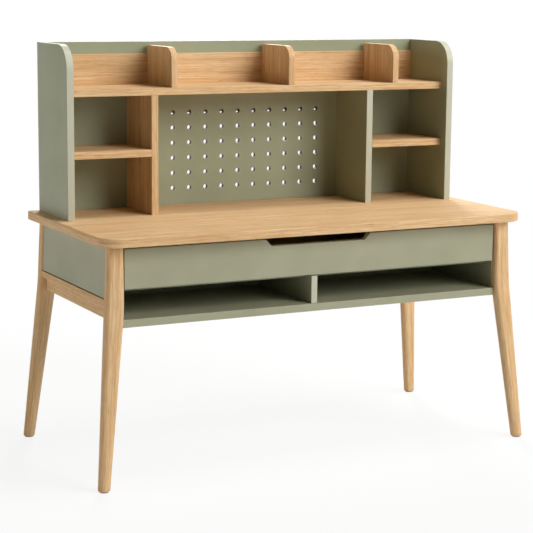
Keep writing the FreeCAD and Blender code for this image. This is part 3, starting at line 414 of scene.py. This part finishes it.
birch_side = birch_plywood("birch_plywood_side", X, Y)
birch_back = birch_plywood("birch_plywood_back", Y, X)
birch_floor = birch_plywood("birch_plywood_floor", Z, X)
print("birch plywood in three lays")

# %% [markdown]
# ## Finishes on the CAD pieces
#
# Most pieces are flat boards, cut square and eased, and right as they come, so they only change their
# finish. Each could be dressed by hand, one after another. But the record names a slot for every
# piece, and within a slot the piece's name tells which way its grain runs or what its edges are, so
# a few short tables dress them all.

# %% Dress the CAD pieces
OAK_GRAIN = {"side_ledge": oak_deep, "side_rail": oak_deep, "hutch_partition": oak_standing,
             "hutch_fin": oak_standing, "leg": oak_leg}
SAGE_KIND = {"hutch_side": sage_upright, "hutch_partition": sage_upright, "shelf_divider": sage_edge_highlighted,
             "peg_board": sage_drilled, "hutch_batten": sage_batten}
PLY_LAY = {"drawer_side": birch_side, "drawer_back": birch_back, "drawer_floor": birch_floor}
BY_NAME = {"oak": OAK_GRAIN, "sage_lacquer": SAGE_KIND, "birch_ply": PLY_LAY}
BY_SLOT = {"oak": oak_lying, "sage_lacquer": sage, "birch_ply": birch_side, "zinc_steel": zinc,
           "beech": beech, "nylon": nylon}


def finish_for(node, slot):
    """Choose a piece's finish by the start of its name, or else by its slot alone."""
    for start, finish in BY_NAME.get(slot, {}).items():
        if node.startswith(start):
            return finish
    return BY_SLOT[slot]


for row in frame["record"]["subparts"]:
    for holder in frame["nodes"][row["node"]].material_slots:
        holder.material = finish_for(row["node"], row["material_slot"])

# %% [markdown]
# ## Surfaces from arrays
#
# The legs, the desktop's edge and the screw heads need a softer skin than a plain solid gives. Such a
# skin can be pulled into shape by hand, with bevels and subdivision. Here it is rings of points, one
# ring after another, like the hoops of a barrel: a whole stack of rings is one array that a formula
# fills, and its faces follow from counting. Where the wood grain has to follow the piece, each corner
# of a face also stores its place in the log that the piece was cut from.


# %% Helpers for surfaces
def ring_mesh(name, rings, body, node, finish, grain=None):
    """Join closed rings (stack, round, 3), or several such stacks, into capped surfaces that stand
    for a CAD node. A wall face runs from a point to the next one on its ring, and on to the ring after."""
    here = np.arange(rings.size // 3).reshape(-1, *rings.shape[-3:-1])
    after = np.roll(here, -1, axis=2)
    walls = np.stack([here[:, :-1], after[:, :-1], after[:, 1:], here[:, 1:]], axis=-1).reshape(-1, 4)
    faces = [*here[:, 0, ::-1].tolist(), *walls.tolist(), *here[:, -1].tolist()]
    mesh = bpy.data.meshes.new(name)
    mesh.from_pydata(rings.reshape(-1, 3).tolist(), [], faces)
    mesh.materials.append(finish)
    if grain is not None:
        layer = mesh.attributes.new("grain", "FLOAT_VECTOR", "CORNER")
        corners = np.empty(len(mesh.loops), dtype=np.int32)
        mesh.loops.foreach_get("vertex_index", corners)
        layer.data.foreach_set("vector", grain(corners).astype(np.float32).ravel())
    mesh.validate()
    piece = bpy.data.objects.new(name, mesh)
    bpy.context.scene.collection.objects.link(piece)
    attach(piece, body)
    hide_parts(node)
    return piece


def shade_smooth(piece):
    """Let the light run over a piece's faces without a break."""
    piece.data.polygons.foreach_set("use_smooth", np.ones(len(piece.data.polygons), dtype=bool))


def four_quarters(steps):
    """The angles of four quarter circles in turn, and on which side of x and of y each one lies."""
    turn = np.linspace(0, np.pi / 2, steps)
    angle = np.concatenate([turn + quarter * np.pi / 2 for quarter in range(4)])
    return angle, np.repeat([1, -1, -1, 1], steps), np.repeat([1, 1, -1, -1], steps)


print("four quarters of nine steps make a ring of", len(four_quarters(9)[0]), "points")

# %% [markdown]
# ## Legs
#
# Each leg is shaped from one post: a rounded rectangle at the top, a little wider at a knee under the
# side panel, then bending outwards and tapering to a round foot. A loft through a few outlines is the
# plain way, but it has a crease at the knee, which on the real leg the sanding belt has rolled over.
# So the centre line, the two widths and the corner radius are functions of height that bend softly
# round the knee. Every leg takes its grain from a place of its own in the log, metres apart, so that
# no two look alike.

# %% Leg sizes
LEG_IN = np.array([624, 263]) * MM
LEG_TOP = np.array([46, 32]) * MM
LEG_KNEE = np.array([54, 36]) * MM
LEG_SPLAY = np.array([51, 45]) * MM
LEG_CORNER = 10 * MM
FOOT_WIDTH, FOOT_CHAMFER, FOOT_ROUND = 35 * MM, 2.5 * MM, 0.98
FOOT_BASE, KNEE_HEIGHT, UNDER_TOP = 2.5 * MM, 505 * MM, 694 * MM
CHAMFER_TOP = FOOT_BASE + FOOT_CHAMFER
KNEE_SOFT = 30 * MM
LEG_LEVELS, CORNER_STEPS = 90, 9
LOG_APART = np.array([3, 5])
print("legs", round((UNDER_TOP - FOOT_BASE) / MM, 1), "mm long, knees", KNEE_HEIGHT / MM, "mm up")


# %% Leg surfaces
def bent(height, foot, knee, top):
    """Two straight runs that meet at the knee. Within the soft length on either side of it a parabola
    is added: the change of slope, by that length, by the square of the share of the way in."""
    below, over = KNEE_HEIGHT - CHAMFER_TOP, UNDER_TOP - KNEE_HEIGHT
    lower = knee + (foot - knee) * (KNEE_HEIGHT - height) / below
    upper = knee + (top - knee) * (height - KNEE_HEIGHT) / over
    change = (top - knee) / over - (knee - foot) / below
    share = np.clip((height - KNEE_HEIGHT) / (2 * KNEE_SOFT) + 0.5, 0, 1)
    straight = np.where(height < KNEE_HEIGHT, lower, upper)
    return straight + change * KNEE_SOFT * np.minimum(share, 1 - share) ** 2


def rounded_rings(half_x, half_y, corner, steps):
    """Rectangles with round corners, one for each size: quarter circles about hubs that lie inside
    the corners by the radius, joined by straight sides."""
    angle, side_x, side_y = four_quarters(steps)
    half_x, half_y, corner = half_x[:, None], half_y[:, None], corner[:, None]
    x = side_x * (half_x - corner) + corner * np.cos(angle)
    y = side_y * (half_y - corner) + corner * np.sin(angle)
    return np.stack([x, y], axis=-1)


def leg_rings(signs):
    """Rounded rectangles stacked up the leg, moved out along its centre line; the lowest one is drawn
    in by the chamfer of the foot. The same rings, not moved out, lie in the log."""
    rise = np.linspace(CHAMFER_TOP, UNDER_TOP, LEG_LEVELS)
    levels = rise[:, None]
    knee_middle, top_middle = LEG_IN + LEG_KNEE / 2, LEG_IN + LEG_TOP / 2
    half = bent(levels, FOOT_WIDTH / 2, LEG_KNEE / 2, LEG_TOP / 2)
    middle = bent(levels, knee_middle + LEG_SPLAY, knee_middle, top_middle)
    corner = bent(rise, FOOT_WIDTH / 2 * FOOT_ROUND, LEG_CORNER, LEG_CORNER)
    rise = np.concatenate([[FOOT_BASE], rise])
    half = np.concatenate([half[:1] - FOOT_CHAMFER, half])
    corner = np.concatenate([corner[:1] - FOOT_CHAMFER, corner])
    middle = np.concatenate([middle[:1], middle]) * signs
    around = rounded_rings(half[:, X], half[:, Y], corner, CORNER_STEPS)
    height = np.repeat(rise[:, None, None], around.shape[1], axis=1)
    rings = np.concatenate([around + middle[:, None, :], height], axis=-1)
    log = np.concatenate([around + LOG_APART * signs, height], axis=-1)
    return rings, log.reshape(-1, 3)


for end, sign_y in (("front", -1), ("back", 1)):
    for side, sign_x in (("left", -1), ("right", 1)):
        rings, in_log = leg_rings(np.array([sign_x, sign_y]))
        leg = ring_mesh(f"leg_{end}_{side}_turned", rings, "desk", f"leg_{end}_{side}", oak_leg,
                        lambda corners: in_log[corners])
        shade_smooth(leg)
        print(leg.name, len(leg.data.polygons), "faces")

# %% [markdown]
# ## Desktop
#
# The top is a veneered board with a lipping round its edge. The veneer's grain runs from end to end,
# but the lipping's grain follows the edge, round the wide front corners too. A rounded board with one
# straight grain is quick to make, and shows end grain where there is none. So the profile of the edge
# is carried round the outline, and the grain of the lipping is stored by length along it, in a part
# of the log that is metres away from the sheet's.

# %% Desktop surface
TOP_LOW, TOP_HIGH = (np.array(corner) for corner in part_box("desktop"))
FRONT_RADIUS, BACK_RADIUS, TOP_EASE = 60 * MM, 14 * MM, 3 * MM
OUTLINE_STEPS, EASE_STEPS = 40, 8
LIPPING_APART = 2


def desktop_rings():
    """Outlines of the top, one over another, drawn in along a quarter circle at the foot and at the
    head of the edge: a point lies at its corner's radius, less what it is drawn in, from its hub."""
    turn = np.linspace(0, np.pi / 2, EASE_STEPS)
    inset = TOP_EASE * np.concatenate([1 - np.sin(turn), 1 - np.cos(turn)])
    foot = TOP_LOW[Z] + TOP_EASE * (1 - np.cos(turn))
    head = TOP_HIGH[Z] - TOP_EASE * (1 - np.sin(turn))
    rise = np.concatenate([foot, head])
    angle, side_x, side_y = four_quarters(OUTLINE_STEPS)
    radius = np.where(side_y > 0, BACK_RADIUS, FRONT_RADIUS)
    hub_x = np.where(side_x > 0, TOP_HIGH[X] - radius, TOP_LOW[X] + radius)
    hub_y = np.where(side_y > 0, TOP_HIGH[Y] - radius, TOP_LOW[Y] + radius)
    reach = radius - inset[:, None]
    x = hub_x + reach * np.cos(angle)
    y = hub_y + reach * np.sin(angle)
    return np.stack([x, y, np.repeat(rise[:, None], len(angle), axis=1)], axis=-1)


rings = desktop_rings()
print("desktop of", rings.shape[0], "rings with", rings.shape[1], "points each")

# %% Desktop grain
edge_line = rings[EASE_STEPS]
along_edge = np.concatenate([[0], np.cumsum(np.linalg.norm(np.diff(edge_line, axis=0), axis=1))])
in_sheet = rings.reshape(-1, 3)
in_lipping = np.stack([np.tile(along_edge, len(rings)), np.zeros(len(in_sheet)),
                       in_sheet[:, Z] + LIPPING_APART], axis=-1)


def desktop_grain(corners):
    """The two flat caps, first and last of the faces, lie in the sheet, and the walls in the lipping."""
    grain = in_lipping[corners]
    cap = rings.shape[1]
    grain[:cap] = in_sheet[corners[:cap]]
    grain[-cap:] = in_sheet[corners[-cap:]]
    return grain


desktop = ring_mesh("desktop_lipped", rings, "desk", "desktop", oak_desktop, desktop_grain)
print(desktop.name, len(desktop.data.polygons), "faces; edge", round(float(along_edge[-1]), 2), "m round")

# %% [markdown]
# ## Screws
#
# The peg board, the shelf and the stretcher are held by pan-head screws, whose heads show from the
# back and from below. A plain cylinder with a cross cut into it would do, but a real head is pressed:
# its dome runs softly into the rim, and the cross slopes to its floor. So a head is a half ellipse
# turned about the axis, and the cross is a hollow that is taken from its height. The places come from
# the CAD screws: all points within about a head's width of one another belong to one screw.

# %% Screw sizes
HEAD_WIDTH, HEAD_THICK, DOME_HEIGHT = 9 * MM, 2.5 * MM, 1.7 * MM
SHANK_WIDTH, TIP_WIDTH, POINT_LENGTH = 4 * MM, 0.4 * MM, 5 * MM
CROSS_REACH, CROSS_HALF, CROSS_DEPTH = 2.5 * MM, 0.55 * MM, 1.5 * MM
CROSS_SLOPE, CENTRE_WIDTH = 0.35 * MM, 0.3 * MM
ONE_SCREW = 13.5 * MM
HEAD_RINGS, ROUND_STEPS = 22, 48
print("screw heads", HEAD_WIDTH / MM, "mm wide, with a cross", CROSS_DEPTH / MM, "mm deep")


# %% Screw surfaces
def pin_places(node, across):
    """Middles of the round pins of a CAD node, in the two axes across them: the points near the first
    one are a pin, and are set aside, until none are left."""
    mesh = frame["nodes"][node].data
    points = np.empty(3 * len(mesh.vertices))
    mesh.vertices.foreach_get("co", points)
    points = points.reshape(-1, 3)[:, across]
    places = []
    while len(points):
        near = np.linalg.norm(points - points[0], axis=1) < ONE_SCREW
        places.append((points[near].min(axis=0) + points[near].max(axis=0)) / 2)
        points = points[~near]
    return np.array(places)


def screw_rings(length):
    """A screw from its point to the middle of its head, as two places across and one along the axis.
    The head's height is an ellipse over the radius, less the depth of the cross where an arm runs."""
    half = HEAD_WIDTH / 2
    dome = np.linspace(half, CENTRE_WIDTH / 2, HEAD_RINGS)
    rise = length - DOME_HEIGHT * (1 - np.sqrt(1 - (dome / half) ** 2))
    under = length - HEAD_THICK
    radius = np.concatenate([[TIP_WIDTH / 2, SHANK_WIDTH / 2, SHANK_WIDTH / 2, half], dome])
    height = np.concatenate([[0, POINT_LENGTH, under, under], rise])
    turn = np.arange(ROUND_STEPS) * 2 * np.pi / ROUND_STEPS
    first, second = radius[:, None] * np.cos(turn), radius[:, None] * np.sin(turn)
    arms = []
    for along, aside in ((first, second), (second, first)):
        inside = np.minimum(CROSS_HALF - np.abs(aside), CROSS_REACH - np.abs(along))
        arms.append(np.clip(inside / CROSS_SLOPE + 0.5, 0, 1))
    on_head = np.arange(len(radius)) >= len(radius) - HEAD_RINGS
    cross = CROSS_DEPTH * np.maximum(*arms) * on_head[:, None]
    return np.stack([first, second, height[:, None] - cross], axis=-1)


for node, axis, across, outwards in (("peg_board_screws", Y, [Z, X], 1), ("shelf_screws", Z, [Y, X], -1),
                                     ("stretcher_screws", Z, [Y, X], -1)):
    low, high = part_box(node)
    one = screw_rings(high[axis] - low[axis])
    places = pin_places(node, across)
    rings = np.empty((len(places), *one.shape))
    rings[..., across] = one[..., :2] + places[:, None, None, :]
    rings[..., axis] = (low[axis] if outwards > 0 else high[axis]) + outwards * one[..., 2]
    screws = ring_mesh(node + "_pan_head", rings, "desk", node, zinc)
    shade_smooth(screws)
    print(screws.name, len(places), "screws of", len(screws.data.polygons) // len(places), "faces")

# %% [markdown]
# ## The floor
#
# The desk stands on a pale studio floor that fades to white. A curved backdrop under strong light
# would give that white too, but the light would bleach the desk. So the floor is an ordinary pale
# surface for the light that bounces off it, and mostly plain white for what the camera or a mirror
# sees. Near the desk a share of its own shade is kept, which leaves a soft shadow round the feet.

# %% Floor
WHITE = (1, 1, 1, 1)
FLOOR_HALF, FLOOR_PALE, FLOOR_ROUGH = 30.0, "#E6E5E3", 0.9
SHADE_KEPT, SHADE_NEAR, SHADE_FAR = 0.16, 0.9, 2.4


def seen_directly(tree):
    """A socket that is one for rays from the camera, from a mirror or through a pane, and nought for
    bounced light: the greatest of the three."""
    rays = add(tree, "LightPath").outputs
    seen = rays["Is Camera Ray"]
    for ray in ("Is Glossy Ray", "Is Transmission Ray"):
        seen = add(tree, "Math", {0: seen, 1: rays[ray]}, operation="MAXIMUM").outputs[0]
    return seen


pale, tree, surface = new_finish("pale_floor")
surface.inputs["Base Color"].default_value = linear(FLOOR_PALE)
surface.inputs["Roughness"].default_value = FLOOR_ROUGH
where = add(tree, "TexCoord").outputs["Object"]
distance = add(tree, "VectorMath", {0: where}, operation="LENGTH").outputs["Value"]
cover = add(tree, "MapRange", {"Value": distance, "From Min": SHADE_NEAR, "From Max": SHADE_FAR,
                               "To Min": 1 - SHADE_KEPT, "To Max": 1.0}, interpolation_type="SMOOTHSTEP")
share = add(tree, "Math", {0: seen_directly(tree), 1: cover.outputs[0]}, operation="MULTIPLY").outputs[0]
plain = add(tree, "Emission", {"Color": WHITE, "Strength": 1.0}).outputs[0]
mixed = add(tree, "MixShader", {0: share, 1: surface.outputs[0], 2: plain}).outputs[0]
tree.links.new(mixed, tree.get_output_node("ALL").inputs["Surface"])

square = FLOOR_HALF * np.array([(-1, -1, 0), (1, -1, 0), (1, 1, 0), (-1, 1, 0)])
floor_mesh = bpy.data.meshes.new("floor")
floor_mesh.from_pydata(square.tolist(), [], [(0, 1, 2, 3)])
floor_mesh.materials.append(pale)
floor = bpy.data.objects.new("floor", floor_mesh)
bpy.context.scene.collection.objects.link(floor)
print("floor of", 2 * FLOOR_HALF, "m")

# %% [markdown]
# ## The world
#
# Past the floor there is only the colour of the world. A bright, even world would light each corner
# alike and take the depth out of the shelves. So it is white where the camera or a mirror looks at
# it, and almost dark as a source of light, and the lamps are left to shape the desk.

# %% World
WORLD_LEVEL = 0.03

world = bpy.data.worlds.new("studio")
bpy.context.scene.world = world
world.use_nodes = True
tree = world.node_tree
tree.nodes.clear()
strength = add(tree, "MapRange", {"Value": seen_directly(tree), "To Min": WORLD_LEVEL,
                                  "To Max": 1.0}).outputs[0]
sky = add(tree, "Background", {"Color": WHITE, "Strength": strength}).outputs[0]
add(tree, "OutputWorld", {"Surface": sky})
print("world at", WORLD_LEVEL)

# %% [markdown]
# ## The lamps
#
# Four softboxes, as in a studio: a large one at the front right, a small, slightly warm one at the
# left for the side panels, one high up for the desktop, and one behind for the back. Point lamps cast
# hard shadows, and a sky picture can't be dimmed lamp by lamp. Area lamps can, and these are set so
# that a colour renders about as it is written. The front one stands far enough to the side for the
# uprights to shade the cells of the hutch. The back one stands between the two directions in which the
# ends of the desktop would mirror it to the camera, so that neither end shines white.

# %% Lamps
LAMPS = {"key_softbox": ((4.4, -7.3, 5.2), 5.4, 710, "#FFFFFF"),
         "left_softbox": ((-4.9, 0.6, 1.9), 1.4, 45, "#FFF9ED"),
         "top_softbox": ((2.4, -0.6, 7.0), 3.0, 285, "#FFFFFF"),
         "back_softbox": ((1.9, 4.4, 3.3), 1.4, 160, "#FFFFFF")}
LAMP_AIM = Vector((0, 0, 0.7))

for name, (place, width, watts, tint) in LAMPS.items():
    box = bpy.data.lights.new(name, "AREA")
    box.size = width
    box.energy = watts
    box.color = linear(tint)[:3]
    lamp = bpy.data.objects.new(name, box)
    lamp.location = place
    lamp.rotation_euler = (LAMP_AIM - Vector(place)).to_track_quat("-Z", "Y").to_euler()
    bpy.context.scene.collection.objects.link(lamp)
    print(name, width, "m wide,", watts, "W")
